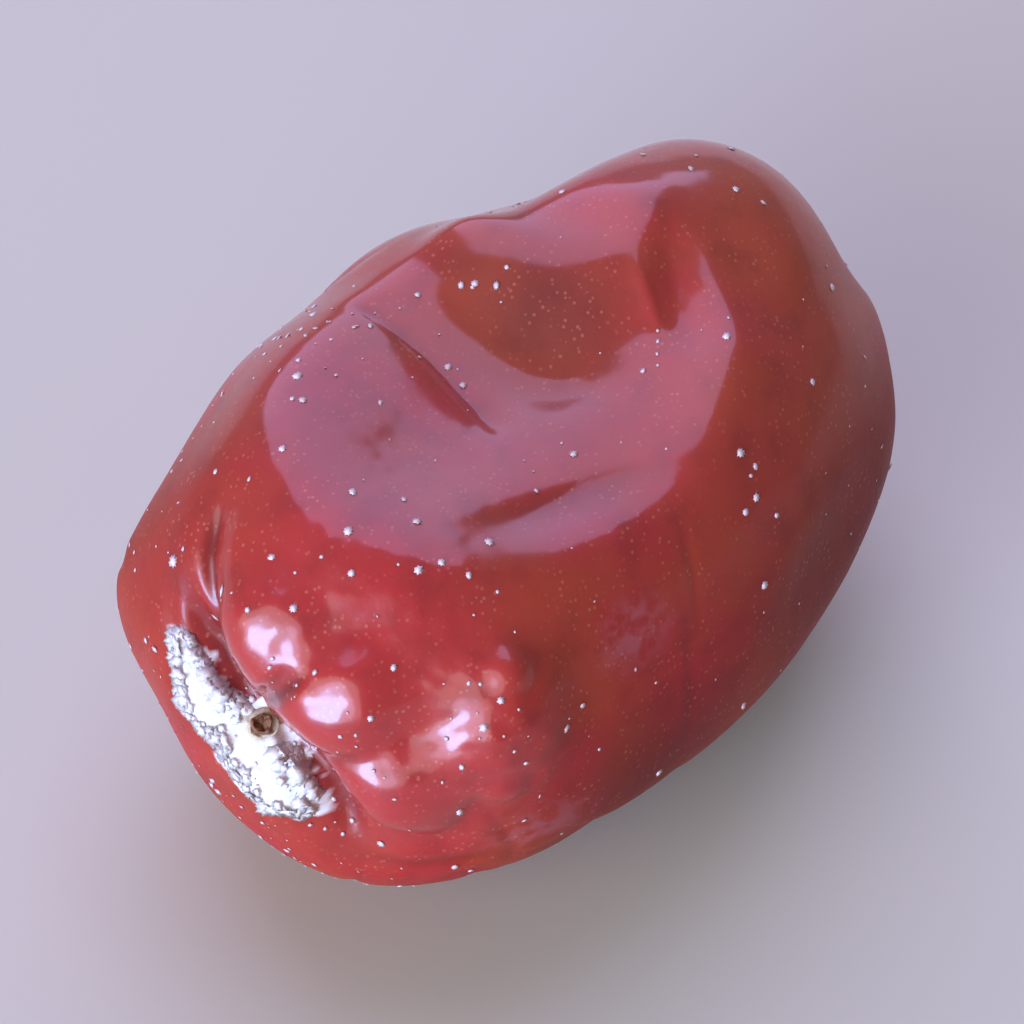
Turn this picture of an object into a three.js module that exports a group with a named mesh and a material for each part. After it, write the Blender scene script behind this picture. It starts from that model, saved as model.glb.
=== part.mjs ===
// A dried oleaster fruit, lying on its side on a small flat spot.
// Millimetres, +Z up. The origin is on the surface that it lies on, below the middle of the fruit, and the
// fruit's axis lies along X: the stalk end points to -X and the tip to +X.
//
// A place on the skin is [along, around]: the distance over the smooth skin from the stalk end, and the
// angle about the axis in degrees, 0 on top, 90 on the -Y side, 180 underneath and -90 on the +Y side.
import * as THREE from "three";
import { mergeVertices } from "three/addons/utils/BufferGeometryUtils.js";

// Driving dimensions of the smooth body, before it shrinks into hollows and wrinkles
const STALK_REACH = 11.3; // from the widest section to the stalk end
const TIP_REACH = 12.2; // from the widest section to the tip
const HALF_WIDTH = 7.75; // along Y
const HALF_HEIGHT = 7.4; // along Z
const STALK_BLUNTNESS = 3.2; // 2 is an ellipse, and more is blunter
const TIP_BLUNTNESS = 2.35;
const FLAT_DEPTH = 0.35; // what the resting spot takes off the underside

// Fineness of the mesh
const RINGS = 60; // from end to end
const SECTORS = 84; // around the axis
const CREASE_STEPS = 24; // straight pieces that a crease's line is measured against

const radians = THREE.MathUtils.degToRad;
const halfOf = (x) => (x < 0 ? [STALK_REACH, STALK_BLUNTNESS] : [TIP_REACH, TIP_BLUNTNESS]);

// The line over the smooth skin from the stalk end to the tip, at the side of the axis where Z is up.
class Meridian extends THREE.Curve {
  getPoint(t, target = new THREE.Vector3()) {
    const x = -Math.cos(Math.PI * t) * (t < 0.5 ? STALK_REACH : TIP_REACH);
    const [reach, bluntness] = halfOf(x);
    const share = Math.sqrt(Math.max(0, 1 - Math.abs(x / reach) ** bluntness));
    return target.set(x, 0, share * HALF_HEIGHT);
  }
}

const meridian = new Meridian();
meridian.arcLengthDivisions = 2000;
const SKIN_LENGTH = meridian.getLength();

// The point of the smooth body at a place on the skin.
function bodyPoint([along, around]) {
  const { x, z } = meridian.getPointAt(along / SKIN_LENGTH);
  const angle = radians(around);
  const y = -z * Math.sin(angle) * (HALF_WIDTH / HALF_HEIGHT);
  return new THREE.Vector3(x, y, z * Math.cos(angle));
}

// The outward normal of the smooth body at a point of it.
function bodyNormal({ x, y, z }) {
  const [reach, bluntness] = halfOf(x);
  const slope = (bluntness * Math.abs(x / reach) ** (bluntness - 1)) / reach;
  const across = (2 * y) / HALF_WIDTH ** 2;
  return new THREE.Vector3(Math.sign(x) * slope, across, (2 * z) / HALF_HEIGHT ** 2).normalize();
}

// An oval hollow pressed into the skin, or with a negative depth a swelling of it. It is a soft bell, or
// with a rim a flat pan that takes away the roundness of the skin, where rim is the softness of its edge.
function hollow({ at, length, width, turn = 0, depth, rim = 0 }) {
  const centre = bodyPoint(at);
  const out = bodyNormal(centre);
  const round = new THREE.Vector3(0, -Math.cos(radians(at[1])), -Math.sin(radians(at[1])));
  const onward = new THREE.Vector3().crossVectors(out, round).normalize();
  onward.applyAxisAngle(out, radians(turn));
  round.crossVectors(onward, out);
  const bell = (q) => (q < 1 ? (1 - q * q) ** 2 : 0);
  const pan = (q) => rim * Math.log1p(Math.exp((1 - q * q) / rim));
  return (p) => {
    const d = p.clone().sub(centre);
    if (d.dot(out) < -HALF_HEIGHT) return 0;
    const q = Math.hypot(d.dot(onward) / length, d.dot(round) / width);
    return -depth * (rim ? pan(q) : bell(q));
  };
}

// A crease along a line of places, or with a negative depth a ridge. It has its own width on the left and
// on the right of its line, as seen from outside, and it fades out over a share of its length at both ends.
function crease({ path, left, right = left, depth, fade = 0.3 }) {
  const line = new THREE.CatmullRomCurve3(path.map(bodyPoint), false, "centripetal");
  const steps = line.getSpacedPoints(CREASE_STEPS);
  const segments = steps.slice(1).map((end, i) => new THREE.Line3(steps[i], end));
  const nearest = new THREE.Vector3();
  const run = new THREE.Vector3();
  return (p) => {
    const gaps = segments.map((segment) => segment.closestPointToPoint(p, true, nearest).distanceTo(p));
    const gap = Math.min(...gaps);
    if (gap > 2.5 * Math.max(left, right)) return 0;
    const i = gaps.indexOf(gap);
    segments[i].delta(run);
    const share = (i + segments[i].closestPointToPointParameter(p, true)) / CREASE_STEPS;
    const off = p.clone().sub(segments[i].closestPointToPoint(p, true, nearest));
    const width = run.cross(off).dot(bodyNormal(p)) > 0 ? left : right;
    const end = THREE.MathUtils.smoothstep(Math.min(share, 1 - share), 0, fade);
    return -depth * end * Math.exp(-((gap / width) ** 2));
  };
}

// Slow swellings and dips that make the body uneven.
const BODY = [
  hollow({ at: [26.2, -26], length: 3.6, width: 4.4, depth: -0.4 }),
  hollow({ at: [13.5, 116], length: 10, width: 5, depth: -0.5 }),
  hollow({ at: [6, 145], length: 4.5, width: 4, depth: -0.35 }),
  hollow({ at: [3.6, -122], length: 3, width: 4, depth: 0.3 }),
  hollow({ at: [8.6, -62], length: 3.6, width: 4, depth: 0.5 }),
  hollow({ at: [4.8, -88], length: 2.5, width: 3, depth: -0.2 }),
  hollow({ at: [21.5, -43], length: 3.6, width: 3, depth: 0.45 }),
  hollow({ at: [16.8, -58], length: 3, width: 3, depth: -0.35 }),
];

// The large hollow on top, and what stands up or folds in it.
const TOP = [
  hollow({ at: [14.6, 5.5], length: 6.4, width: 5.1, depth: 2.1, rim: 0.06 }),
  // the hump that closes it towards the tip
  hollow({ at: [23.3, -8], length: 4.6, width: 4.4, depth: -0.95, rim: 0.1 }),
  // the steep wall of the pocket below the hump, and the foot of that wall
  crease({
    path: [[16.8, -42], [17.8, -24], [18.6, -8], [19.2, 4], [19.5, 12]],
    left: 0.9,
    right: 1.6,
    depth: -0.7,
  }),
  crease({
    path: [[16, -38], [15.7, -22], [15.7, -8], [16.2, 8], [17.4, 17], [18.6, 21]],
    left: 1,
    right: 1,
    depth: 0.45,
  }),
  // the short fold across the floor and the long one inside the near rim
  crease({
    path: [[14, -38], [14.2, -22], [14.1, -6], [14, 5], [13.7, 15]],
    left: 0.8,
    right: 0.5,
    depth: 0.2,
    fade: 0.2,
  }),
  crease({
    path: [[9.4, 27], [11, 31], [12.4, 34], [14.2, 37], [15.8, 41.5], [17.4, 48]],
    left: 0.9,
    right: 1.2,
    depth: 0.22,
    fade: 0.4,
  }),
  // the edge of the hump on the pocket's side, the groove behind it and the dent beyond the groove
  crease({
    path: [[21.3, -16], [20.6, -4], [20, 4], [19.6, 11], [19, 19]],
    left: 0.7,
    right: 1.2,
    depth: -0.25,
  }),
  crease({ path: [[21, -2], [20.3, 11], [19.7, 22], [19.2, 31]], left: 0.5, right: 0.5, depth: 0.4 }),
  hollow({ at: [21.6, 15], length: 2.3, width: 2.8, depth: 0.45 }),
];

// The pleated stalk end: a cleft through the scar, lobes on the upper side of it and a lip on the lower.
const STALK_END = [
  crease({
    path: [[5.4, -36], [4.2, -30], [2.1, -3], [1.75, 38], [3.3, 86], [4.6, 113], [6.2, 122]],
    left: 0.95,
    depth: 1.15,
  }),
  hollow({ at: [4.6, 12], length: 1.6, width: 1.75, depth: -0.5, rim: 0.15 }),
  hollow({ at: [4.9, 46], length: 1.8, width: 1.75, depth: -0.6, rim: 0.15 }),
  hollow({ at: [5.3, 82], length: 2, width: 2, depth: -0.5, rim: 0.15 }),
  hollow({ at: [8.6, 69], length: 2.5, width: 2.9, depth: -0.65 }),
  crease({ path: [[3.4, 28], [4.6, 29], [6.2, 31], [7.8, 32]], left: 0.5, depth: 0.3 }),
  crease({ path: [[3.6, 68], [4.8, 66], [6.4, 64], [8, 61]], left: 0.5, depth: 0.25 }),
  crease({ path: [[3.3, -2], [4.6, -14], [6.2, -19], [7.6, -20]], left: 0.45, depth: 0.3 }),
  crease({ path: [[4.4, 100], [6, 103], [7.6, 104]], left: 0.5, depth: 0.25 }),
];

// Dents and long wrinkles of the sides and the underside.
const SIDES = [
  crease({ path: [[6.5, -98], [11, -112], [17, -108], [23, -93]], left: 0.9, right: 1.6, depth: 0.75 }),
  crease({ path: [[11.5, -112], [13.5, -96], [15.5, -84]], left: 0.8, right: 1.2, depth: 0.4 }),
  crease({ path: [[9, -140], [15, -148], [23, -136]], left: 1.3, right: 0.9, depth: 0.55 }),
  crease({ path: [[21, -118], [24, -128], [27, -126]], left: 0.7, right: 1, depth: 0.4 }),
  crease({ path: [[12, 138], [17, 146], [23, 141]], left: 0.8, right: 1.2, depth: 0.4 }),
  crease({ path: [[9.5, 112], [12, 120], [15, 121]], left: 0.5, right: 0.8, depth: 0.3 }),
  hollow({ at: [20.5, 86], length: 4.2, width: 2.6, turn: 12, depth: 0.35 }),
  hollow({ at: [25, 150], length: 3.4, width: 3, turn: 20, depth: 0.5 }),
];

// The tip: a shallow dimple round the scar of the flower, with pleats that run into it.
const TIP = [
  hollow({ at: [SKIN_LENGTH, 0], length: 1.7, width: 1.4, depth: 0.5 }),
  crease({ path: [[30.6, 20], [29, 30], [27, 34]], left: 0.6, depth: 0.3 }),
  crease({ path: [[30.5, 96], [28.6, 88], [26, 92]], left: 0.5, right: 0.9, depth: 0.4 }),
  crease({ path: [[30.8, 168], [29.4, 160], [28, 165]], left: 0.5, depth: 0.25 }),
  crease({ path: [[30.6, -118], [28.8, -112], [26.4, -102]], left: 0.8, right: 0.5, depth: 0.45 }),
  crease({ path: [[30.7, -48], [29.3, -55], [28.2, -52]], left: 0.5, depth: 0.3 }),
];

const FORMS = [...BODY, ...TOP, ...STALK_END, ...SIDES, ...TIP];

function fruitGeometry() {
  const profile = [];
  for (let i = 0; i <= RINGS; i++) {
    const { x, z } = meridian.getPointAt(i / RINGS);
    profile.push(new THREE.Vector2(i % RINGS ? z / HALF_HEIGHT : 0, x));
  }
  const lathe = new THREE.LatheGeometry(profile, SECTORS);
  lathe.deleteAttribute("normal");
  lathe.deleteAttribute("uv");
  const body = mergeVertices(lathe, 1e-6);
  body.rotateZ(-Math.PI / 2).scale(1, HALF_WIDTH, HALF_HEIGHT);

  const positions = body.getAttribute("position");
  const placed = [];
  for (let i = 0; i < positions.count; i++) {
    const p = new THREE.Vector3().fromBufferAttribute(positions, i);
    const rise = FORMS.reduce((sum, form) => sum + form(p), 0);
    placed.push(p.clone().addScaledVector(bodyNormal(p), rise));
  }
  const floor = Math.min(...placed.map((p) => p.z)) + FLAT_DEPTH;
  placed.forEach((p, i) => positions.setXYZ(i, p.x, p.y, Math.max(p.z, floor)));

  body.computeBoundingBox();
  const { min, max } = body.boundingBox;
  return body.translate(-(min.x + max.x) / 2, -(min.y + max.y) / 2, -min.z);
}

const flesh = new THREE.MeshStandardMaterial({ color: 0x8e2b22, roughness: 0.3, metalness: 0 });
const fruit = new THREE.Mesh(fruitGeometry(), flesh);
fruit.name = "fruit";
const oleaster = new THREE.Group();
oleaster.add(fruit);

export default oleaster;
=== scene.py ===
"""The looks of a dried oleaster fruit that lies on its side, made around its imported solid.

The skin is the solid's own surface with the fine folds, pleats and grain of a dried fruit pressed into
it. Silvery scales lie on it, thinly over most of it and as a thick crust in the cleft of the stalk end.
"""

import logging
import math
from dataclasses import dataclass
from enum import Enum
from random import Random
from typing import Any, Iterable, Mapping, Sequence

import bmesh
import bpy
import numpy as np
from bmesh.types import BMFace, BMVert, BMesh
from bpy.types import ID, Material, Mesh, Node, NodeSocket, Object
from mathutils import Matrix, Vector, noise
from mathutils.bvhtree import BVHTree


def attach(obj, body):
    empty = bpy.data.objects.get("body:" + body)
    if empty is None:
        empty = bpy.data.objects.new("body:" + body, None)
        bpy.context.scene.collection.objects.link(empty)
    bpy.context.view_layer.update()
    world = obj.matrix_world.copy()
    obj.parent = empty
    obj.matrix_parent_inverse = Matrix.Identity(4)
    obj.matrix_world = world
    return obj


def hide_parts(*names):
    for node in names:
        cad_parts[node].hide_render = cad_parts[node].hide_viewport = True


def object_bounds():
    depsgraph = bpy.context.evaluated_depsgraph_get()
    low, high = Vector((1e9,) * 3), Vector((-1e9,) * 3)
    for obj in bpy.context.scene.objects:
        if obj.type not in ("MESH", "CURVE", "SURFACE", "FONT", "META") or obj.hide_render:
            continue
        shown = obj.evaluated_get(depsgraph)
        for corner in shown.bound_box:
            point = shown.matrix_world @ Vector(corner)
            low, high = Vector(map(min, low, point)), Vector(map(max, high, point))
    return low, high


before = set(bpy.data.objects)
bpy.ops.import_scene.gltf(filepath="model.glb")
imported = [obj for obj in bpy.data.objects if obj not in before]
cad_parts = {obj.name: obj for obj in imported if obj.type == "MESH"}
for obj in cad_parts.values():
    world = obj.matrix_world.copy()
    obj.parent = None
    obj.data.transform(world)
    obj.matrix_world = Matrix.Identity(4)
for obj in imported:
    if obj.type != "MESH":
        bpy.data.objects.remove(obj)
cad_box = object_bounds()

log = logging.getLogger("oleaster")

MM = 0.001  # a millimetre in metres
FRUIT = "fruit"  # the solid's node
BODY = "root"  # the body that everything rides on
SHIELD_RAYS = (7, 8, 9)  # of the shields that all scales are copies of
SHIELD_DOME = 0.16  # how high a shield's middle stands, for a radius of 1
SHIELD_STALK = 0.3  # and how far its foot reaches down

Place = tuple[float, float]  # along and around, see SmoothBody
Triple = tuple[float, float, float]
Colour = tuple[float, float, float, float]
Values = Mapping[str | int, Any]  # what a node's properties or sockets are set to


class Slot(Enum):
    """The record's material slots."""

    SKIN = "skin"
    SCURF = "scurf"
    SCAR = "scar"


class Panel(Enum):
    """The shapes of the soft lights."""

    RECTANGLE = "RECTANGLE"
    ELLIPSE = "ELLIPSE"


# --- Places on the fruit ---


@dataclass(frozen=True)
class SmoothBody:
    """The smooth body that places on the fruit are measured on, in millimetres.

    A place is (along, around): the distance over the smooth skin from the stalk end, and the angle about
    the axis in degrees, 0 on top, 90 on the -Y side, 180 underneath and -90 on the +Y side.
    """

    stalk_reach: float = 11.3
    tip_reach: float = 12.2
    half_width: float = 7.75
    half_height: float = 7.4
    stalk_bluntness: float = 3.2
    tip_bluntness: float = 2.35
    middle: Triple = (-0.34, 0.125, 7.05)
    steps: int = 2000

    def profile(self, turns: np.ndarray) -> tuple[np.ndarray, np.ndarray]:
        """Gives the line from the stalk end to the tip.

        Args:
            turns: how far along the line each point is, from 0 to 1.

        Returns:
            Each point's place on the axis and its height above the axis.
        """
        x = -np.cos(np.pi * turns) * np.where(turns < 0.5, self.stalk_reach, self.tip_reach)
        reach = np.where(x < 0, self.stalk_reach, self.tip_reach)
        bluntness = np.where(x < 0, self.stalk_bluntness, self.tip_bluntness)
        share = np.sqrt(np.clip(1 - np.abs(x / reach) ** bluntness, 0, None))
        return x, share * self.half_height

    def length_along(self) -> tuple[np.ndarray, np.ndarray]:
        """Measures the profile.

        Returns:
            Its turns, and the skin's length up to each of them.
        """
        turns = np.linspace(0, 1, self.steps + 1)
        x, z = self.profile(turns)
        pieces = np.hypot(np.diff(x), np.diff(z))
        return turns, np.concatenate([[0.0], np.cumsum(pieces)])

    def point(self, place: Place) -> Vector:
        """Gives the point of the smooth body at a place.

        Args:
            place: where on the fruit.

        Returns:
            The point in the row frame, in millimetres.
        """
        turns, lengths = self.length_along()
        turn = np.interp(place[0], lengths, turns)
        x, z = (float(v) for v in self.profile(turn))
        angle = math.radians(place[1])
        y = -z * math.sin(angle) * self.half_width / self.half_height
        return Vector((x, y, z * math.cos(angle))) + Vector(self.middle)

    def outward(self, point: Vector) -> Vector:
        """Gives the smooth body's outward direction at a point of it.

        Args:
            point: a point in the row frame, in millimetres.

        Returns:
            The direction, one long.
        """
        x, y, z = point - Vector(self.middle)
        reach = self.stalk_reach if x < 0 else self.tip_reach
        bluntness = self.stalk_bluntness if x < 0 else self.tip_bluntness
        slope = bluntness * abs(x / reach) ** (bluntness - 1) / reach
        return Vector(
            (math.copysign(slope, x), 2 * y / self.half_width**2, 2 * z / self.half_height**2)
        ).normalized()


@dataclass(frozen=True)
class Spot:
    """A point on a surface and the way out of it there, in millimetres."""

    point: Vector
    out: Vector

    def stand(self, height: float) -> Matrix:
        """Gives what puts something upright on the spot, its foot at a height above it."""
        turned = self.out.to_track_quat("Z", "Y").to_matrix().to_4x4()
        return Matrix.Translation(self.point + self.out * height) @ turned


class Surface:
    """A mesh that things are laid on, in millimetres."""

    SMOOTH = SmoothBody()
    OUTSIDE = 4.0  # how far outside the smooth body a line into it starts
    DEEP = 12.0  # and how long it is

    def __init__(self, mesh: Mesh) -> None:
        """Reads a mesh.

        Args:
            mesh: the mesh, in metres.
        """
        points = [v.co / MM for v in mesh.vertices]
        faces = [tuple(p.vertices) for p in mesh.polygons]
        self.tree = BVHTree.FromPolygons(points, faces)

    def spot(self, place: Place) -> Spot:
        """Gives the spot at a place.

        Args:
            place: where on the fruit.

        Returns:
            Where a line into the smooth body at that place meets the surface.
        """
        start = self.SMOOTH.point(place)
        out = self.SMOOTH.outward(start)
        point, normal, _, _ = self.tree.ray_cast(start + out * self.OUTSIDE, -out, self.DEEP)
        if point is None:
            point, normal, _, _ = self.tree.find_nearest(start)
        return Spot(point, normal)

    def line(self, path: Sequence[Place], pitch: float) -> np.ndarray:
        """Draws a smooth line over the surface.

        Args:
            path: the places that it runs through.
            pitch: the distance between its points in millimetres.

        Returns:
            Its points, one row each.
        """
        knots = [self.spot(place).point for place in path]
        knots = [2 * knots[0] - knots[1], *knots, 2 * knots[-1] - knots[-2]]
        points: list[Vector] = []
        for before, start, end, after in zip(knots, knots[1:], knots[2:], knots[3:]):
            count = max(2, round((end - start).length / pitch))
            for step in range(count):
                t = step / count
                bend = (
                    2 * start
                    + (end - before) * t
                    + (2 * before - 5 * start + 4 * end - after) * t**2
                    + (3 * start - before - 3 * end + after) * t**3
                ) / 2
                points.append(self.tree.find_nearest(bend)[0])
        points.append(knots[-2])
        return np.array([tuple(p) for p in points])


# --- The relief of the skin ---


@dataclass(frozen=True)
class Fold:
    """A groove pressed along a line of places, or with a negative depth a ridge. Sizes in millimetres.

    Its two sides have widths of their own, left and right of its line as seen from outside, and it fades
    out over a share of its length at both ends. Its bottom is darkened with painted shade.
    """

    path: tuple[Place, ...]
    depth: float
    left: float
    right: float = 0.0
    fade: float = 0.3
    shade: float = 1.0  # how strongly painted shade darkens its bottom


@dataclass(frozen=True)
class Oval:
    """A soft oval on the skin: a look of its own, a swelling or a dent. Sizes in millimetres."""

    at: Place
    length: float  # half of it, towards the tip where it isn't turned
    width: float  # half of it
    amount: float = 1.0  # in its middle: of a look the share, of a swelling the height
    turn: float = 0.0  # about its middle, in degrees


def soft_noise(places: Iterable[Vector], octaves: int) -> np.ndarray:
    """Gives soft noise about 0 for each place, with so many layers, each half as high as the last."""
    return np.array([noise.fractal(place, 1.0, 2.0, octaves) for place in places])


class Relief:
    """How far each point of the skin rises, and what its finish shows there."""

    PITCH = 0.15  # of the points that a fold's line is measured against
    REACH = 2.6  # how many widths from its line a fold still counts
    DARKNESS = 3.0  # how dark the painted shade at the bottom of a fold gets, for each millimetre of its depth
    APART = (37.0, 900.0, 11.0)  # sets each ripple's noise apart from the others'

    def __init__(self, mesh: Mesh, surface: Surface) -> None:
        """Reads the skin as it is before the relief.

        Args:
            mesh: the skin's mesh, in metres.
            surface: what places are found on.
        """
        self.surface = surface
        self.points = np.array([tuple(vert.co) for vert in mesh.vertices]) / MM
        self.normals = np.array([tuple(normal.vector) for normal in mesh.vertex_normals])
        # the fold mark holds painted shade for the bottoms of folds, the felt mark the felt under the
        # crust
        self.rise, crease, felt = np.zeros((3, len(self.points)))
        self.marks = {"crease": crease, "felt": felt}

    def measure(self, line: np.ndarray, reach: float) -> tuple[np.ndarray, ...]:
        """Measures the skin's points against a line.

        Args:
            line: the line's points, one row each.
            reach: how far from the line a point still counts.

        Returns:
            The numbers of the points within reach, and for each its distance from the line, its share of
            the line's length, and whether it lies on the left.
        """
        low, high = line.min(0) - reach, line.max(0) + reach
        near = np.nonzero(((self.points > low) & (self.points < high)).all(1))[0]
        points, normals = self.points[near], self.normals[near]
        gap = np.full(len(near), np.inf)
        share = np.zeros(len(near))
        left = np.zeros(len(near), bool)
        lengths = np.linalg.norm(np.diff(line, axis=0), axis=1)
        starts = np.concatenate([[0.0], np.cumsum(lengths)])
        for start, end, length, begun in zip(line, line[1:], lengths, starts):
            run = end - start
            t = np.clip((points - start) @ run / max(length**2, 1e-12), 0, 1)
            off = points - start - t[:, None] * run
            distance = np.linalg.norm(off, axis=1)
            closer = distance < gap
            gap[closer] = distance[closer]
            share[closer] = (begun + t[closer] * length) / starts[-1]
            side = np.einsum("ij,ij->i", np.cross(run, off), normals) > 0
            left[closer] = side[closer]
        keep = gap < reach
        return near[keep], gap[keep], share[keep], left[keep]

    def press(self, fold: Fold) -> None:
        """Presses a fold into the skin, and paints shade along its bottom.

        Args:
            fold: the fold.
        """
        right = fold.right or fold.left
        line = self.surface.line(fold.path, self.PITCH)
        near, gap, share, left = self.measure(line, self.REACH * max(fold.left, right))
        width = np.where(left, fold.left, right)
        ease = np.clip(np.minimum(share, 1 - share) / fold.fade, 0, 1)
        depth = ease**2 * (3 - 2 * ease) * np.exp(-((gap / width) ** 2))
        self.rise[near] -= fold.depth * depth
        # painted shade along the fold's bottom, deepest where it is pressed deepest
        dark = np.clip(fold.depth * fold.shade * self.DARKNESS, 0, 1)
        crease = self.marks["crease"]
        crease[near] = np.maximum(crease[near], dark * depth)

    def shaped(self, oval: Oval) -> np.ndarray:
        """Gives how much of an oval each point of the skin has.

        Args:
            oval: the oval.

        Returns:
            For each point a number from 0 to the oval's amount.
        """
        spot = self.surface.spot(oval.at)
        out = spot.out
        angle = math.radians(oval.at[1])
        around = Vector((0, -math.cos(angle), -math.sin(angle)))
        onward = out.cross(around).normalized()
        onward.rotate(Matrix.Rotation(math.radians(oval.turn), 3, out))
        across = onward.cross(out)
        off = self.points - np.array(spot.point)
        far = np.hypot(off @ np.array(onward) / oval.length, off @ np.array(across) / oval.width)
        facing = self.normals @ np.array(out) > 0
        soft = np.where(facing & (far < 1), (1 - np.minimum(far, 1) ** 2) ** 2, 0)
        return oval.amount * soft

    def spread(self, ovals: Sequence[Oval]) -> np.ndarray:
        """Gives how much of several ovals together each point of the skin has, from 0 to 1."""
        return np.clip(sum(self.shaped(oval) for oval in ovals), 0, 1)

    def ripple(
        self, size: float, height: float, where: np.ndarray | float = 1.0, octaves: int = 1
    ) -> None:
        """Roughens the skin with soft noise.

        Args:
            size: the distance between its bumps in millimetres.
            height: how high they are in millimetres.
            where: how much of it each point gets, or one number for all.
            octaves: how many finer layers it has, each half as high.
        """
        across, up, onward = self.APART
        apart = Vector((size * across, height * up, onward))
        values = soft_noise((Vector(p) / size + apart for p in self.points), octaves)
        self.rise += height * values * where


def in_box(point: Vector) -> bool:
    """Says whether a point in millimetres lies inside the solid's box."""
    low, high = cad_box
    return all(a <= b * MM <= c for a, b, c in zip(low, point, high))


def mesh_of(name: str, bm: BMesh) -> Mesh:
    """Writes a mesh that was built, and frees what it was built in.

    Args:
        name: the mesh's name.
        bm: what it was built in.

    Returns:
        The mesh.
    """
    mesh = bpy.data.meshes.new(name)
    bm.to_mesh(mesh)
    bm.free()
    return mesh


def placed(name: str, data: ID) -> Object:
    """Puts an object in the scene.

    Args:
        name: the object's name.
        data: its mesh, camera or light.

    Returns:
        The object, at the origin.
    """
    made = bpy.data.objects.new(name, data)
    bpy.context.scene.collection.objects.link(made)
    return made


def object_of(name: str, bm: BMesh) -> Object:
    """Makes an object of a mesh built in millimetres.

    Args:
        name: the object's name.
        bm: the mesh, which is freed.

    Returns:
        The object, at the origin and in metres.
    """
    bmesh.ops.scale(bm, vec=(MM, MM, MM), verts=bm.verts)
    mesh = mesh_of(name, bm)
    mesh.shade_smooth()
    return placed(name, mesh)


# --- Finishes ---


class Number:
    """A socket's number, so that a finish can write its maths as plain expressions."""

    def __init__(self, shader: "Shader", socket: NodeSocket) -> None:
        """Wraps a socket of a shader."""
        self.shader = shader
        self.socket = socket

    def _math(self, operation: str, first: Any, second: Any) -> "Number":
        """Gives the result of a Math node's operation on two values."""
        return self.shader.number("ShaderNodeMath", {"operation": operation}, {0: first, 1: second})

    def __add__(self, other: "Number | float") -> "Number":
        """Adds."""
        return self._math("ADD", self, other)

    def __mul__(self, other: "Number | float") -> "Number":
        """Multiplies."""
        return self._math("MULTIPLY", self, other)

    def __sub__(self, other: "Number | float") -> "Number":
        """Subtracts."""
        return self._math("SUBTRACT", self, other)

    def __rsub__(self, other: "Number | float") -> "Number":
        """Subtracts this from a number."""
        return self._math("SUBTRACT", other, self)

    def clamped(self) -> "Number":
        """Keeps it between 0 and 1."""
        return self.shader.number("ShaderNodeClamp", {}, {0: self})

    def between(self, low: float, high: float) -> "Number":
        """Rises smoothly from 0 at a low value to 1 at a high one."""
        settings = {"interpolation_type": "SMOOTHSTEP"}
        return self.shader.number("ShaderNodeMapRange", settings, {0: self, 1: low, 2: high})


class Shader:
    """A material that a finish is written in."""

    def __init__(self, name: str) -> None:
        """Starts an empty material.

        Args:
            name: the material's name.
        """
        self.material = bpy.data.materials.new(name)
        self.material.use_nodes = True
        self.tree = self.material.node_tree
        self.tree.nodes.clear()
        self.coords = self.add("ShaderNodeTexCoord").outputs["Object"]

    def add(self, kind: str, settings: Values | None = None, sockets: Values | None = None) -> Node:
        """Adds a node.

        Args:
            kind: the node's type.
            settings: the node's properties, which are set first.
            sockets: a value or a link for each named or numbered input.

        Returns:
            The node.
        """
        node = self.tree.nodes.new(kind)
        for key, value in (settings or {}).items():
            setattr(node, key, value)
        for key, value in (sockets or {}).items():
            value = value.socket if isinstance(value, Number) else value
            if isinstance(value, NodeSocket):
                self.tree.links.new(value, node.inputs[key])
            else:
                node.inputs[key].default_value = value
        return node

    def number(self, kind: str, settings: Values, sockets: Values, output: int | str = 0) -> Number:
        """Adds a node, and gives the number that comes out of it."""
        return Number(self, self.add(kind, settings, sockets).outputs[output])

    def noise(self, size: float, detail: float = 2.0, shift: float = 0.0) -> Number:
        """Gives soft noise.

        Args:
            size: the size of its blotches in millimetres.
            detail: how many finer layers it has.
            shift: moves it, so that two noises differ.

        Returns:
            Its value, about 0.5.
        """
        moved = self.add("ShaderNodeVectorMath", {"operation": "ADD"}, {0: self.coords, 1: (shift,) * 3})
        sockets = {"Vector": moved.outputs[0], "Scale": 1 / (size * MM), "Detail": detail}
        return self.number("ShaderNodeTexNoise", {}, sockets)

    def dots(self, pitch: float, reach: float) -> Number:
        """Gives round soft dots, so many millimetres apart, whose radius is a share of that."""
        sockets = {"Vector": self.coords, "Scale": 1 / (pitch * MM)}
        return self.number("ShaderNodeTexVoronoi", {}, sockets, "Distance").between(reach, reach * 0.5)

    def marked(self, name: str) -> Number:
        """Gives a number that the mesh holds for each of its points."""
        return self.number("ShaderNodeAttribute", {"attribute_name": name}, {}, "Fac")

    def layered(self, colour: Any, *layers: tuple[Number, Colour]) -> NodeSocket:
        """Lays colours over a first one.

        Args:
            colour: the first colour.
            layers: how much each further one covers, and the colour.

        Returns:
            What is seen.
        """
        for share, cover in layers:
            sockets = {0: share, 6: colour, 7: cover}
            colour = self.add("ShaderNodeMix", {"data_type": "RGBA"}, sockets).outputs[2]
        return colour

    def bump(self, height: Number, distance: float) -> NodeSocket:
        """Gives the normal of bumps that are a height from 0 to 1 times a distance in millimetres."""
        sockets = {"Height": height, "Distance": distance * MM, "Strength": 1.0}
        return self.add("ShaderNodeBump", {}, sockets).outputs[0]

    def surface(self, sockets: Values) -> Material:
        """Closes the material with a Principled shader.

        Args:
            sockets: what the shader is given.

        Returns:
            The material.
        """
        shader = self.add("ShaderNodeBsdfPrincipled", {}, sockets)
        self.add("ShaderNodeOutputMaterial", {}, {"Surface": shader.outputs[0]})
        return self.material


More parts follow.
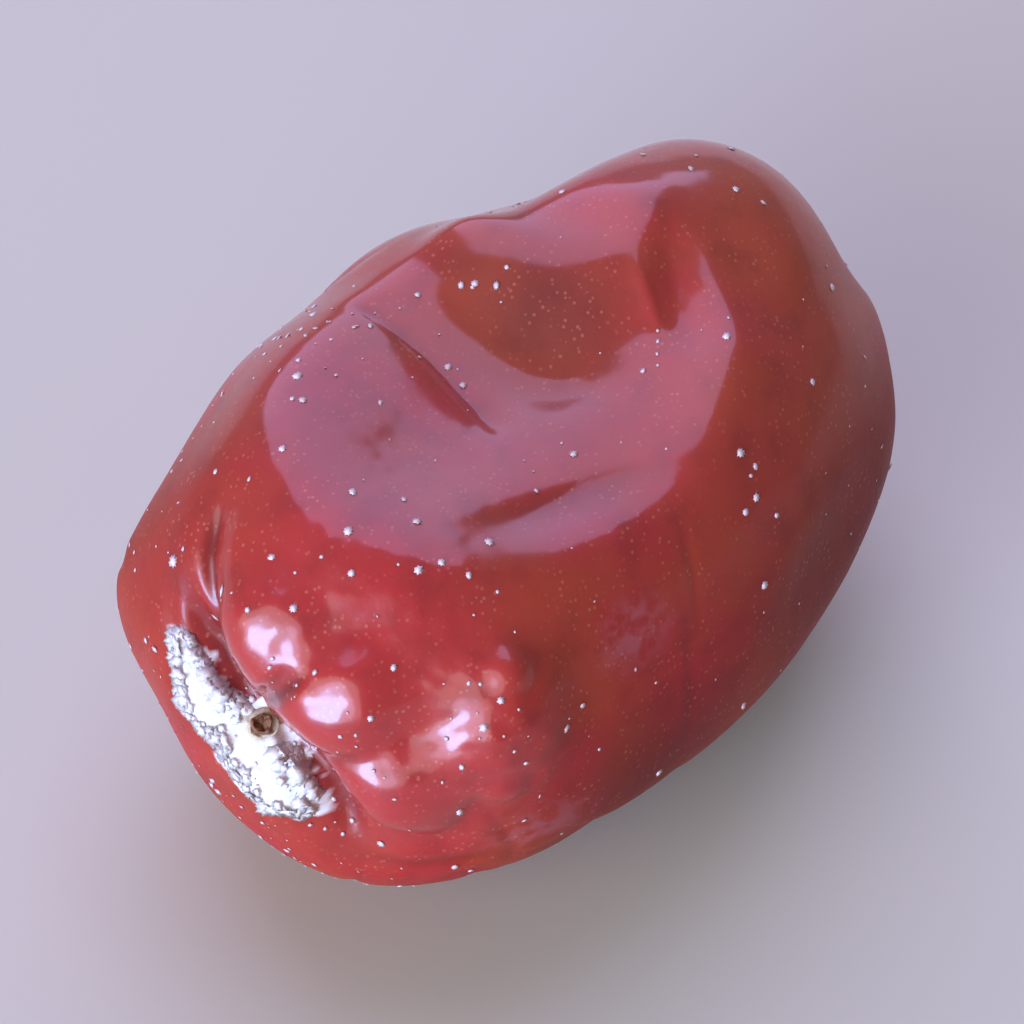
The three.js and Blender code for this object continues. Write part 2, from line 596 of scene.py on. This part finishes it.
@dataclass(frozen=True)
class SkinFinish:
    """A thin glossy red-brown skin over dry flesh, mottled, with painted shade in folds and shaded
    patches, white with felt where scales crust it.
    """

    red: Colour = (0.405, 0.027, 0.026, 1)
    rust: Colour = (0.39, 0.045, 0.02, 1)
    amber: Colour = (0.4, 0.075, 0.026, 1)
    # also the colour of the painted shade
    maroon: Colour = (0.105, 0.012, 0.012, 1)
    tan: Colour = (0.52, 0.16, 0.1, 1)
    bloom: Colour = (0.5, 0.26, 0.3, 1)
    felt: Colour = (0.86, 0.84, 0.82, 1)
    depth_of_light: Triple = (1.6 * MM, 0.4 * MM, 0.2 * MM)

    def material(self) -> Material:
        """Makes the finish.

        Returns:
            The material.
        """
        shader = Shader("skin")
        crease, felt = shader.marked("crease"), shader.marked("felt")
        haze = shader.marked("haze") * shader.noise(0.5, 3, 1.1).between(0.35, 0.65)
        gloss = shader.marked("gloss")
        blotch = shader.noise(3.2, 3).between(0.3, 0.65) * (1 - gloss * 0.8)
        cloud = shader.noise(1.1, 4, 0.3).between(0.45, 0.75)
        speck = shader.dots(0.2, 0.3) * shader.noise(0.9, 2, 0.7).between(0.35, 0.65)
        colour = shader.layered(
            self.red,
            (blotch, self.rust),
            (shader.marked("warm"), self.amber),
            (cloud * 0.25, self.maroon),
            # painted shade: darker at the bottoms of folds and in the shaded patches
            ((crease * 0.75 + shader.marked("painted_shade") * 0.7).clamped(), self.maroon),
            (speck * 0.5, self.tan),
            ((haze * 0.3).clamped(), self.bloom),
            (felt, self.felt),
        )
        rough = 0.5 - gloss * 0.16 + shader.noise(0.6, 3, 0.5) * 0.12 + felt * 0.4
        grain = shader.noise(0.12, 2, 0.9) * 0.5 + shader.noise(0.4, 2) * 0.5
        sockets = {
            "Base Color": colour,
            "Roughness": rough.clamped(),
            "Normal": shader.bump(grain, 0.01),
            "Specular IOR Level": 0.2,
            "Subsurface Weight": 0.25,
            "Subsurface Radius": self.depth_of_light,
            "Subsurface Scale": 1.0,
            "Coat Weight": (shader.marked("shine") - felt - haze * 0.6).clamped(),
            "Coat Roughness": 0.14,
        }
        return shader.surface(sockets)


@dataclass(frozen=True)
class ScaleFinish:
    """The dry silvery stuff of the scales, papery and a little darker in places."""

    name: str = "scurf"
    silver: Colour = (0.9, 0.88, 0.85, 1)
    straw: Colour = (0.6, 0.5, 0.4, 1)
    straw_share: float = 0.5
    roughness: float = 0.42

    def material(self) -> Material:
        """Makes the finish.

        Returns:
            The material.
        """
        shader = Shader(self.name)
        patch = shader.noise(0.7, 2).between(0.5, 0.75) * self.straw_share
        fibre = shader.noise(0.05, 3, 0.4)
        worn = fibre.between(0.6, 0.3) * 0.2
        colour = shader.layered(self.silver, (patch, self.straw), (worn, self.straw))
        sockets = {
            "Base Color": colour,
            "Roughness": self.roughness,
            "Normal": shader.bump(fibre, 0.01),
            "Subsurface Weight": 0.15,
            "Subsurface Radius": (0.1 * MM,) * 3,
            "Subsurface Scale": 1.0,
        }
        return shader.surface(sockets)


@dataclass(frozen=True)
class ScarFinish:
    """Dry brown fibre, paler towards its rim."""

    name: str = "scar"
    brown: Colour = (0.2, 0.085, 0.035, 1)
    cream: Colour = (0.62, 0.5, 0.34, 1)
    dark: Colour = (0.05, 0.02, 0.012, 1)

    def material(self) -> Material:
        """Makes the finish.

        Returns:
            The material.
        """
        shader = Shader(self.name)
        fibre = shader.noise(0.06, 3)
        gaps = fibre.between(0.55, 0.75) * 0.4
        colour = shader.layered(self.brown, (shader.marked("pale"), self.cream), (gaps, self.dark))
        bump = shader.bump(fibre, 0.02)
        return shader.surface({"Base Color": colour, "Roughness": 0.65, "Normal": bump})


# --- The fruit's pieces ---


@dataclass
class Skin:
    """The fruit's skin: the solid's surface with the fine relief of a dried fruit."""

    wrinkles: "Wrinkles"
    name: str = "skin"
    levels: int = 2  # how often each face is halved both ways
    seed: int = 11
    clearance: float = 0.03  # how far it stays inside the solid, in millimetres
    resting: float = 0.02  # what lies lower than this above the floor stays put, in millimetres
    shine_least: float = 0.06  # how much of the coat its sides have
    shine_from: float = 0.2  # how far up it has to face to have more of it
    shine_over: float = 0.55  # and how much further to have it all

    def build(self) -> Object:
        """Builds the skin.

        Returns:
            The skin's object.
        """
        bm = bmesh.new()
        bm.from_mesh(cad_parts[FRUIT].data)
        bmesh.ops.remove_doubles(bm, verts=bm.verts, dist=0.001 * MM)
        any_turn = math.radians(179)  # triangles are joined however sharp the turn between them
        bmesh.ops.join_triangles(
            bm, faces=bm.faces, angle_face_threshold=any_turn, angle_shape_threshold=any_turn
        )
        skin = placed(self.name, mesh_of(self.name, bm))
        finer = skin.modifiers.new("finer", "SUBSURF")
        finer.levels = finer.render_levels = self.levels
        depsgraph = bpy.context.evaluated_depsgraph_get()
        skin.data = bpy.data.meshes.new_from_object(skin.evaluated_get(depsgraph))
        skin.data.name = self.name
        skin.modifiers.clear()
        relief = Relief(skin.data, Surface(skin.data))
        self.wrinkles.press_into(relief, Random(self.seed))
        self.settle(skin.data, relief)
        return skin

    def settle(self, mesh: Mesh, relief: Relief) -> None:
        """Moves the mesh to its relief, within the solid's box, and marks what the finish reads.

        Args:
            mesh: the skin's mesh.
            relief: its relief.
        """
        low, high = (np.array(corner) / MM for corner in cad_box)
        moved = relief.points + relief.normals * (relief.rise - self.clearance)[:, None]
        resting = relief.points[:, 2] < low[2] + self.resting
        moved[resting] = relief.points[resting]
        moved = np.clip(moved, low, high)
        mesh.vertices.foreach_set("co", (moved * MM).ravel())
        up = np.clip((relief.normals[:, 2] - self.shine_from) / self.shine_over, 0, 1)
        shine = self.shine_least + (1 - self.shine_least) * up**2 * (3 - 2 * up)
        marks = relief.marks
        marks["shine"] = np.maximum(shine, marks["gloss"]) * (1 - marks["matt"])
        # among these marks is the painted shade of folds and of shaded patches
        for name in ("crease", "felt", "haze", "shine", "painted_shade", "gloss", "warm"):
            mark = mesh.attributes.new(name, "FLOAT", "POINT")
            mark.data.foreach_set("value", np.clip(marks[name], 0, 1))
        mesh.shade_smooth()
        mesh.update()

    def dress(self, skin: Object) -> None:
        """Gives the skin its finish and its place in the frame.

        Args:
            skin: the skin's object.
        """
        skin.data.materials.clear()
        skin.data.materials.append(SkinFinish().material())
        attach(skin, BODY)
        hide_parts(FRUIT)


@dataclass(frozen=True)
class Seam:
    """The cleft of the stalk end, along which the crust of scales lies. Sizes in millimetres."""

    path: tuple[Place, ...] = (
        (2.9, -38), (2.1, -33), (1.1, -18), (0.9, 34), (1.35, 79), (2.25, 100), (3.3, 107)
    )
    half_widths: tuple[float, ...] = (0.2, 0.5, 0.75, 0.75, 0.95, 1.15, 1.0, 0.4)  # evenly spaced
    ragged: float = 0.3  # how far its edge wanders
    bends: float = 2.2  # and how often, for each millimetre
    edge: float = 0.12  # over what width it thins out to nothing
    fill: float = 0.1  # how thick the felt is
    shoulder: float = 0.5  # over what width it gets this thick
    lump: float = 0.07  # how much its thickness varies
    lumps: float = 3.1  # and how often, for each millimetre
    octaves: int = 3  # how many finer layers both have

    def half_width(self, share: np.ndarray | float) -> np.ndarray:
        """Gives half the crust's width at a share of the seam's length."""
        return np.interp(share, np.linspace(0, 1, len(self.half_widths)), self.half_widths)

    def cover(self, relief: Relief) -> None:
        """Lays the felt under the crust: raises the skin in the cleft and marks it for the finish.

        Args:
            relief: the skin's relief.
        """
        line = relief.surface.line(self.path, relief.PITCH)
        reach = 1.6 * max(self.half_widths)  # beyond where its edge wanders to
        near, gap, share, _ = relief.measure(line, reach)
        wander = soft_noise((Vector(p) * self.bends for p in relief.points[near]), self.octaves)
        inside = self.half_width(share) + self.ragged * wander - gap
        cover = np.clip(inside / self.edge + 0.5, 0, 1)
        lumps = soft_noise((Vector(p) * self.lumps for p in relief.points[near]), self.octaves)
        soft = np.clip(inside / self.shoulder, 0, 1)
        relief.rise[near] += soft * (self.fill + self.lump * lumps)
        relief.marks["felt"][near] = cover
        # the felt hides the painted fold shade beneath it
        relief.marks["crease"][near] *= 1 - cover


@dataclass
class Wrinkles:
    """The fine relief of the skin."""

    seam: Seam
    count: int = 46  # of the small wrinkles that run over it at random

    FOLDS = (
        Fold(((19.7, 1), (19.4, 10), (18.9, 20)), -0.09, 0.14, 0.22, fade=0.4, shade=0),
        Fold(((14, -40), (14.2, -20), (14.1, -6), (14, 4), (13.7, 14)), 0.07, 0.3, 0.16, fade=0.2),
        Fold(
            ((9.6, 24), (11.1, 29), (12.6, 33), (14.3, 36.5), (15.9, 41.5), (17, 47)),
            0.14, 0.36, 0.9, fade=0.5,
        ),
        Fold(
            ((5.0, -34), (4.2, -30), (2.1, -3), (1.75, 38), (3.3, 86), (4.6, 113), (5.8, 121)),
            0.25, 0.4,
        ),
        Fold(((2.2, 29), (3.4, 29), (4.8, 30)), 0.16, 0.2),
        Fold(((2.6, 66), (3.8, 67), (5.2, 65)), 0.14, 0.2),
        # a shallow crease along the cleft's edge under the lobes, there mostly for its strong painted
        # shade
        Fold(
            ((4.5, -8), (2.8, -15), (2.0, 7), (2.2, 36), (2.2, 67), (2.6, 82), (3.2, 91), (3.8, 105)),
            0.07, 0.3, shade=8,
        ),
        # a short crease between two lobes, with strong painted shade
        Fold(((2.4, 33), (3.6, 34), (5, 33)), 0.12, 0.22, shade=4),
        Fold(((2.6, -4), (3.8, -14), (5.4, -20), (7, -22)), 0.2, 0.2),
        Fold(((3.6, 96), (4.8, 101), (6.4, 104)), 0.14, 0.2),
        Fold(((4.4, 120), (5.6, 119), (7.4, 113), (9, 110)), 0.12, 0.4, 0.25),
        Fold(((5.2, -33), (4.4, -32), (3.4, -33), (2.4, -34)), -0.16, 0.32, fade=0.4, shade=0),
    )
    LOOKS = {
        # painted shade in the pocket under the hump and on both flanks
        "painted_shade": (
            Oval((17.4, -6), 2.8, 3.4, 0.85, 20), Oval((16.6, -28), 1.2, 1.6, 0.6, 20),
            Oval((16, 20), 3, 3, 0.3), Oval((7, -45), 6, 6, 0.45),
            Oval((21.5, 96), 9, 6, 0.8), Oval((12.5, 104), 5, 4),
        ),
        "warm": (Oval((17, -8), 3.6, 4.5, 0.75), Oval((24, 0), 5, 6, 0.75), Oval((22, 55), 8, 5, 0.5)),
        "haze": (Oval((12.9, 66), 1.8, 1.4), Oval((9.3, 103), 2.4, 1.5, 0.7)),
        "gloss": (Oval((5.5, 55), 6, 6.5, 2),),
        "matt": (Oval((7, 30), 1.7, 1.5), Oval((6, -60), 6, 4.5)),
    }
    SWELLINGS = (
        Oval((8.6, 69), 2.8, 3.1, 0.12), Oval((9.2, 56.5), 0.8, 0.8, 0.22),
        Oval((8.1, 84), 0.9, 0.8, 0.2), Oval((7.7, 60), 1.5, 1.3, -0.17),
        Oval((4.66, 18), 1.1, 1.1, -0.12), Oval((4.87, 44), 1.1, 1.1, -0.12),
    )
    UNDULATION = (2.4, 0.035)  # the size and the height of the ripples
    GRAIN = (0.5, 0.005)
    FROTH = ((0.7, 0.06), (0.28, 0.045))
    FROTHY = Oval((8.6, 76), 2.6, 3.6)
    LOBE_GRAIN = (0.45, 0.025)
    NEAR_ENDS = 0.6  # the share of the small wrinkles that lie near an end of the fruit
    STEPS = 4  # in a small wrinkle

    def wandering(self, draw: Random) -> Fold:
        """Draws a small wrinkle at random, mostly along the fruit and near its ends.

        Args:
            draw: the random numbers.

        Returns:
            The wrinkle.
        """
        if draw.random() < self.NEAR_ENDS:
            along = draw.choice((draw.uniform(3.5, 8), draw.uniform(24, 29)))
        else:
            along = draw.uniform(8, 24)
        around = draw.uniform(65, 320)
        heading = draw.gauss(0, 9)
        length = draw.uniform(1.2, 4.0)
        path = []
        for _ in range(self.STEPS):
            path.append((min(max(along, 2.5), 29.5), around))  # clear of both ends
            along += length / self.STEPS
            around += heading
            heading += draw.gauss(0, 5)
        left = draw.uniform(0.14, 0.3)
        depth = draw.uniform(0.03, 0.09)
        return Fold(tuple(path), depth, left, left * draw.uniform(1, 1.8), fade=0.45)

    def press_into(self, relief: Relief, draw: Random) -> None:
        """Presses all of it into the skin.

        Args:
            relief: the skin's relief.
            draw: the random numbers.
        """
        for fold in self.FOLDS:
            relief.press(fold)
        for _ in range(self.count):
            relief.press(self.wandering(draw))
        relief.ripple(*self.UNDULATION)
        relief.ripple(*self.GRAIN, octaves=2)
        for swelling in self.SWELLINGS:
            relief.rise += relief.shaped(swelling)
        frothy = relief.shaped(self.FROTHY)
        for size, height in self.FROTH:
            relief.ripple(size, height, frothy)
        self.seam.cover(relief)
        for name, ovals in self.LOOKS.items():
            relief.marks[name] = relief.spread(ovals)
        relief.ripple(*self.LOBE_GRAIN, relief.marks["gloss"])


@dataclass(frozen=True)
class Patch:
    """A place where scales lie thicker than elsewhere. Sizes in millimetres."""

    at: Place
    reach: float
    weight: float  # how many times as many as elsewhere are added in its middle


def shield(rays: int, draw: Random) -> Mesh:
    """Makes a star-shaped shield: a shallow dome of joined rays, closed below by a short stalk.

    Args:
        rays: how many rays it has.
        draw: the random numbers.

    Returns:
        The shield, with a radius of 1 and its rim about height 0.
    """
    bm = bmesh.new()
    bmesh.ops.create_circle(bm, cap_ends=True, cap_tris=True, segments=2 * rays, radius=1)
    middle = max(bm.verts, key=lambda vert: len(vert.link_edges))
    rim = [vert for vert in bm.verts if vert is not middle]
    for number, vert in enumerate(rim):
        reach = draw.uniform(0.82, 1.05) if number % 2 else draw.uniform(0.6, 0.76)
        rise = draw.uniform(-0.04, 0.08)
        vert.co = vert.co * reach + Vector((0, 0, rise))
    middle.co.z = SHIELD_DOME
    below = bmesh.ops.duplicate(bm, geom=bm.verts[:] + bm.edges[:] + bm.faces[:])["geom"]
    bmesh.ops.reverse_faces(bm, faces=[part for part in below if isinstance(part, BMFace)])
    under = [part for part in below if isinstance(part, BMVert)]
    max(under, key=lambda vert: len(vert.link_edges)).co.z = -SHIELD_STALK
    bmesh.ops.remove_doubles(bm, verts=bm.verts, dist=1e-4)
    bmesh.ops.recalc_face_normals(bm, faces=bm.faces)
    return mesh_of("shield", bm)


@dataclass
class Scales:
    """Silvery scales strewn over the skin."""

    name: str
    finish: ScaleFinish
    count: int
    small: float  # radius of the smallest in millimetres
    large: float  # and of the largest
    seed: int
    patches: tuple[Patch, ...] = ()
    smallness: float = 2.2  # the higher, the more of them are small
    tilt: float = 14.0  # how far they lean, in degrees
    domed: float = 1.0  # how high their middles stand
    above: float = 0.02  # how high above the skin their rims are
    places: tuple[tuple[Place, float], ...] = ()  # single scales, each with its radius

    def build(self, skin: Object) -> Object:
        """Builds the scales on a finished skin.

        Args:
            skin: the skin's object.

        Returns:
            The object that holds them all.
        """
        draw = Random(self.seed)
        surface = Surface(skin.data)
        shapes = [shield(rays, draw) for rays in SHIELD_RAYS]
        bm = bmesh.new()
        for place, radius in self.places:
            self.lay(bm, surface.spot(place), radius, shapes, draw)
        for spot in self.scatter(skin.data, surface, draw):
            radius = self.small + (self.large - self.small) * draw.random() ** self.smallness
            self.lay(bm, spot, radius, shapes, draw)
        return object_of(self.name, bm)

    def scatter(self, mesh: Mesh, surface: Surface, draw: Random) -> list[Spot]:
        """Draws spots on the skin, more of them in the patches.

        Args:
            mesh: the skin's mesh.
            surface: the same skin, to find places on.
            draw: the random numbers.

        Returns:
            The spots.
        """
        areas = np.array([face.area for face in mesh.polygons])
        centres = np.array([tuple(face.center) for face in mesh.polygons]) / MM
        density = np.ones(len(areas))
        for patch in self.patches:
            middle = np.array(surface.spot(patch.at).point)
            gap = np.linalg.norm(centres - middle, axis=1)
            density += patch.weight * np.exp(-((gap / patch.reach) ** 2))
        weights = np.cumsum(areas * density)
        spots = []
        for _ in range(self.count):
            face = mesh.polygons[int(np.searchsorted(weights, draw.random() * weights[-1]))]
            corners = [mesh.vertices[number].co / MM for number in face.vertices]
            shares = [draw.random() for _ in corners]
            point = sum((c * s for c, s in zip(corners, shares)), Vector()) / sum(shares)
            spots.append(Spot(point, face.normal.copy()))
        return spots

    def lay(self, bm: BMesh, spot: Spot, radius: float, shapes: Sequence[Mesh], draw: Random) -> None:
        """Lays one scale on the skin, unless it would stand out of the solid's box.

        Args:
            bm: the mesh that it joins, in millimetres.
            spot: where it lies.
            radius: its radius.
            shapes: the shields to choose from.
            draw: the random numbers.
        """
        spin = Matrix.Rotation(draw.uniform(0, math.tau), 4, "Z")
        lean = Matrix.Rotation(math.radians(draw.gauss(0, self.tilt)), 4, "X")
        size = Matrix.Diagonal((radius, radius * draw.uniform(0.75, 1), radius * self.domed, 1))
        shape = draw.choice(shapes)
        matrix = spot.stand(self.above) @ spin @ lean @ size
        if not all(in_box(matrix @ vert.co) for vert in shape.vertices):
            return
        begun = len(bm.verts)
        bm.from_mesh(shape)
        bm.verts.ensure_lookup_table()
        bmesh.ops.transform(bm, matrix=matrix, verts=bm.verts[begun:])

    def dress(self, scales: Object) -> None:
        """Gives the scales their finish and their place in the frame.

        Args:
            scales: the object that holds them.
        """
        scales.data.materials.append(self.finish.material())
        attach(scales, BODY)


@dataclass
class Crust(Scales):
    """The thick crust of scales along the seam of the stalk end."""

    seam: Seam = Seam()
    thickness: float = 0.06  # how much higher than the others some of them lie
    edging: float = 0.22  # the lower, the more of them lie along its two edges
    inset: float = 0.5  # how far their middles stay inside it, in radii of the smallest
    scar: Place = (0, 0)
    clear: float = 0.5  # how far their middles stay from the scar

    def scatter(self, mesh: Mesh, surface: Surface, draw: Random) -> list[Spot]:
        """Draws spots within the seam, some of them lifted so that the scales overlap.

        Args:
            mesh: the skin's mesh, not used here.
            surface: the same skin, to find places on.
            draw: the random numbers.

        Returns:
            The spots.
        """
        line = surface.line(self.seam.path, pitch=0.1)
        scar = surface.spot(self.scar).point
        spots = []
        for _ in range(self.count):
            share = draw.random()
            number = min(int(share * (len(line) - 1)), len(line) - 2)
            start, end = Vector(line[number]), Vector(line[number + 1])
            out = surface.tree.find_nearest(start)[1]
            across = (end - start).cross(out).normalized()
            reach = float(self.seam.half_width(share)) - self.inset * self.small
            off = draw.choice((-1, 1)) * draw.random() ** self.edging
            point, normal, _, _ = surface.tree.find_nearest(start + across * off * reach)
            lift = draw.random() * self.thickness * (1 - off * off)
            if (point - scar).length > self.clear:
                spots.append(Spot(point + normal * lift, normal))
        return spots


@dataclass
class Scar:
    """A small scar of dry fibre: a ragged nub with a sunk middle, and where it has one a pale collar.

    Sizes in millimetres.
    """

    name: str
    at: Place
    radius: float
    height: float
    collar: float = 0.0  # the collar's radius
    sink: float = 0.15  # how deep its foot reaches into the skin
    ragged: float = 0.05
    seed: int = 1
    collar_height: float = 0.45  # a share of the nub's
    taper: float = 0.78  # the top's radius, a share of the foot's
    sides: int = 18
    # the rings of its top: how far each rises, a share of the height, and its width, one of the radius
    rings: tuple[tuple[float, float], ...] = ((0.04, 0.132), (-0.3, 0.12), (-0.2, 0.18))

    def build(self, skin: Object) -> Object:
        """Builds the scar on a finished skin.

        Args:
            skin: the skin's object.

        Returns:
            The scar's object.
        """
        draw = Random(self.seed)
        bm = bmesh.new()
        pale = bm.verts.layers.float.new("pale")
        if self.collar:
            for vert in self.stub(bm, self.collar, self.height * self.collar_height, draw):
                vert[pale] = 1.0
        self.stub(bm, self.radius, self.height, draw)
        spot = Surface(skin.data).spot(self.at)
        bmesh.ops.transform(bm, matrix=spot.stand(-self.sink), verts=bm.verts)
        return object_of(self.name, bm)

    def stub(self, bm: BMesh, radius: float, height: float, draw: Random) -> list[BMVert]:
        """Adds a ragged stub that stands on the XY plane, with a rounded rim and a sunk middle.

        Args:
            bm: the mesh that it joins.
            radius: its radius at the foot.
            height: its height above the skin.
            draw: the random numbers.

        Returns:
            Its vertices.
        """
        begun = len(bm.verts)
        tall = height + self.sink
        raised = Matrix.Translation((0, 0, tall / 2))
        sizes = {"radius1": radius, "radius2": radius * self.taper, "depth": tall}
        bmesh.ops.create_cone(bm, cap_ends=True, segments=self.sides, matrix=raised, **sizes)
        bm.verts.ensure_lookup_table()
        new = set(bm.verts[begun:])
        faces = [face for face in bm.faces if face.verts[0] in new]
        top = max(faces, key=lambda face: face.calc_center_median().z)
        for rise, width in self.rings:
            bmesh.ops.inset_region(bm, faces=[top], thickness=radius * width, depth=0)
            bmesh.ops.translate(bm, vec=(0, 0, rise * height), verts=top.verts)
        bm.verts.ensure_lookup_table()
        made = bm.verts[begun:]
        for vert in made:
            share = vert.co.z / tall
            wobble = Vector((draw.gauss(0, 1), draw.gauss(0, 1), draw.gauss(0, 1.4)))
            vert.co += wobble * self.ragged * share
        return made

    def dress(self, scar: Object) -> None:
        """Gives the scar its finish and its place in the frame.

        Args:
            scar: the scar's object.
        """
        finer = scar.modifiers.new("finer", "SUBSURF")
        finer.levels = finer.render_levels = 2
        scar.data.materials.append(ScarFinish(self.name).material())
        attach(scar, BODY)


# The scales that stand out singly on the upper side, each with its radius in millimetres
LARGE_SCALES = (
    ((4.9, -34), 0.2), ((4.7, -8), 0.2), ((6.2, 2), 0.14), ((8.7, -14), 0.12),
    ((10.9, -27), 0.17), ((8.9, 5), 0.15), ((7.3, 20), 0.12), ((10.7, 33), 0.16),
    ((9.6, 36), 0.12), ((14.7, 28), 0.14), ((14.5, -14), 0.13), ((14.4, -8), 0.12),
    ((16.9, -17), 0.14), ((6.7, 44), 0.12), ((18.3, 53), 0.12), ((23.8, 8), 0.12),
    ((19, 17), 0.06), ((18.8, 19), 0.07), ((18.5, 21.3), 0.07), ((18.25, 23.5), 0.06),
)


# --- The studio ---


@dataclass(frozen=True)
class Viewpoint:
    """Where the fruit is seen from, in metres and degrees."""

    azimuth: float = -45.0
    elevation: float = 48.0
    distance: float = 0.17
    aim: Triple = (-0.34 * MM, 0.13 * MM, -0.19 * MM)  # from the middle of the box
    view_width: float = 27.3 * MM
    sensor: float = 36.0

    def target(self) -> Vector:
        """Gives the point that the camera looks at."""
        low, high = cad_box
        return (Vector(low) + Vector(high)) / 2 + Vector(self.aim)

    def axes(self) -> tuple[Vector, Vector, Vector]:
        """Finds the camera's own axes.

        Returns:
            The directions to its right, upwards and backwards.
        """
        turn, rise = math.radians(self.azimuth), math.radians(self.elevation)
        level = math.cos(rise)
        back = Vector((math.sin(turn) * level, -math.cos(turn) * level, math.sin(rise)))
        right = Vector((math.cos(turn), math.sin(turn), 0))
        return right, back.cross(right), back

    def build(self) -> Object:
        """Makes the camera.

        Returns:
            The camera's object.
        """
        lens = bpy.data.cameras.new("camera")
        lens.sensor_width = self.sensor
        lens.lens = self.sensor * self.distance / self.view_width
        lens.clip_start = 0.01
        camera = self.hang("camera", lens, self.axes()[2], self.distance)
        bpy.context.scene.camera = camera
        return camera

    def hang(self, name: str, data: ID, towards: Vector, distance: float) -> Object:
        """Puts a camera or a light in the scene, turned to the fruit.

        Args:
            name: its name.
            data: its camera or light.
            towards: its direction from the fruit.
            distance: its distance in metres.

        Returns:
            The object.
        """
        made = placed(name, data)
        made.location = self.target() + towards * distance
        made.rotation_euler = towards.to_track_quat("Z", "Y").to_euler()
        return made


@dataclass(frozen=True)
class SoftLight:
    """A soft light: a panel that faces the fruit.

    Its direction is right, up and back as the camera sees it. Sizes in metres, power in watts.
    """

    name: str
    direction: Triple
    distance: float
    width: float
    height: float
    power: float
    tint: Triple
    shape: Panel = Panel.ELLIPSE

    def build(self, view: Viewpoint) -> Object:
        """Makes the light.

        Args:
            view: where the fruit is seen from.

        Returns:
            The light's object.
        """
        panel = bpy.data.lights.new(self.name, "AREA")
        panel.shape = self.shape.value
        panel.size, panel.size_y = self.width, self.height
        panel.energy = self.power
        panel.color = self.tint
        steps = (axis * share for axis, share in zip(view.axes(), self.direction))
        return view.hang(self.name, panel, sum(steps, Vector()).normalized(), self.distance)


WINDOW = (-0.6, -0.48, 0.64)  # the direction of the three lights that make the bright spots


@dataclass(frozen=True)
class Studio:
    """The pale floor, the light of the room and the lights."""

    floor_size: float = 2.0
    floor_tone: float = 0.6
    floor_grain: float = 0.02  # how much its tone varies
    floor_blue: float = 0.8  # its blue, a share of its red
    room_light: float = 0.2
    lights: tuple[SoftLight, ...] = (
        SoftLight("key", WINDOW, 0.42, 0.2, 0.17, 1.6, (0.3, 0.55, 1.0)),
        SoftLight("glow", WINDOW, 0.43, 0.38, 0.33, 1.2, (0.6, 0.62, 1.0)),
        SoftLight("halo", WINDOW, 0.44, 0.7, 0.62, 2.3, (1.0, 0.82, 0.8)),
        SoftLight("sky", (-0.078, 0.954, 0.16), 0.5, 0.51, 0.78, 3.3, (0.6, 0.53, 1.0), Panel.RECTANGLE),
    )

    def build(self, view: Viewpoint) -> Object:
        """Makes the floor, the world and the lights.

        Args:
            view: where the fruit is seen from.

        Returns:
            The floor's object.
        """
        for light in self.lights:
            light.build(view)
        world = bpy.data.worlds.new("room")
        world.use_nodes = True
        background = world.node_tree.nodes["Background"]
        background.inputs["Color"].default_value = (1, 1, 1, 1)
        background.inputs["Strength"].default_value = self.room_light
        bpy.context.scene.world = world
        bpy.context.scene.view_settings.view_transform = "Standard"
        bm = bmesh.new()
        bmesh.ops.create_grid(bm, x_segments=1, y_segments=1, size=self.floor_size / 2 / MM)
        floor = object_of("floor", bm)
        shader = Shader("floor")
        tone = shader.noise(60, 2) * self.floor_grain + (self.floor_tone - self.floor_grain / 2)
        parts = {0: tone, 1: tone, 2: tone * self.floor_blue}
        colour = shader.add("ShaderNodeCombineColor", {}, parts).outputs[0]
        floor.data.materials.append(shader.surface({"Base Color": colour, "Roughness": 0.6}))
        return floor


def report(piece: Object) -> None:
    """Logs a piece's name and how many faces it has."""
    log.info("%s: %d faces", piece.name, len(piece.data.polygons))


def main() -> None:
    """Builds the fruit and the studio round it."""
    logging.basicConfig(level=logging.INFO, format="%(message)s")
    view = Viewpoint()
    view.build()
    seam = Seam()
    fruit = Skin(Wrinkles(seam))
    skin = fruit.build()
    fruit.dress(skin)
    report(skin)
    silver = Scales(
        "silver_scales",
        ScaleFinish(silver=(0.78, 0.66, 0.63, 1)),
        count=480, small=0.04, large=0.16, seed=3,
        patches=(
            Patch((12.3, -38), 2.2, 6), Patch((8.4, 64), 1.3, 6),
            Patch((3, 60), 3, 5), Patch((4, 150), 4, 4),
        ),
        places=LARGE_SCALES,
    )
    stalk = Scar("stalk_scar", (1.45, 54), 0.34, 0.4, collar=0.52, seed=4)
    crust = Crust(
        "scurf_crust",
        ScaleFinish("crust", straw_share=0.15),
        count=330, small=0.14, large=0.42, seed=5,
        tilt=8, domed=0.4, seam=seam, scar=stalk.at,
    )
    tip = Scar("tip_scar", (31.2, 0), 0.24, 0.12, ragged=0.03, seed=9)
    for part in (silver, crust, stalk, tip):
        piece = part.build(skin)
        part.dress(piece)
        report(piece)
    report(Studio().build(view))


if __name__ == "__main__":
    main()
